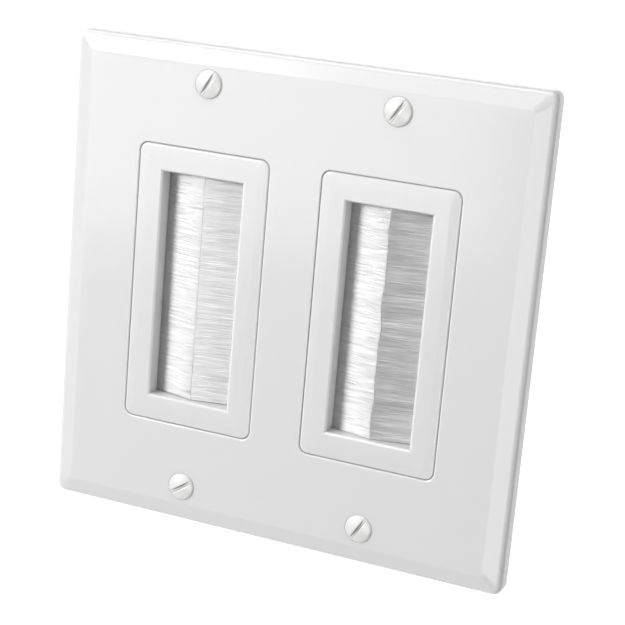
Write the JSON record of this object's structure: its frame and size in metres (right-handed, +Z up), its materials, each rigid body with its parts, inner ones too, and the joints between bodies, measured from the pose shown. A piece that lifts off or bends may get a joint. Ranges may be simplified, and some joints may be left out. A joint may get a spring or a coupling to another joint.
{
  "type": "brush wall plate",
  "caption": "White wall plate whose two framed windows are filled with opposed rows of bristles that let cables through.",
  "frame": {"origin": "middle of the cover plate's back rim, on the wall's surface", "axes": "+Y goes into the wall, so the front looks along -Y; +Z is up and +X is to the right as seen from the front"},
  "size_m": [0.1158, 0.027, 0.1142],
  "materials": {
    "cover_plastic": "semi-gloss moulded white",
    "insert_plastic": "satin moulded white",
    "painted_screw": "gloss white paint",
    "zinc_steel": "bright zinc",
    "channel_aluminium": "mill finish",
    "nylon_bristle": "fine white nylon filament",
    "retainer_plastic": "matt moulded white"
  },
  "bodies": {
    "root": {"cover_plate": "cover_plastic", "plate_screws": "painted_screw", "box_screws": "zinc_steel", "left_insert_frame": "insert_plastic", "left_rear_retainer": "retainer_plastic", "left_retainer_screws": "zinc_steel", "left_insert_left_channel": "channel_aluminium", "left_insert_left_core_wire": "zinc_steel", "left_insert_left_bristles": "nylon_bristle", "left_insert_right_channel": "channel_aluminium", "left_insert_right_core_wire": "zinc_steel", "left_insert_right_bristles": "nylon_bristle", "right_insert_frame": "insert_plastic", "right_rear_retainer": "retainer_plastic", "right_retainer_screws": "zinc_steel", "right_insert_left_channel": "channel_aluminium", "right_insert_left_core_wire": "zinc_steel", "right_insert_left_bristles": "nylon_bristle", "right_insert_right_channel": "channel_aluminium", "right_insert_right_core_wire": "zinc_steel", "right_insert_right_bristles": "nylon_bristle"}
  },
  "joints": []
}
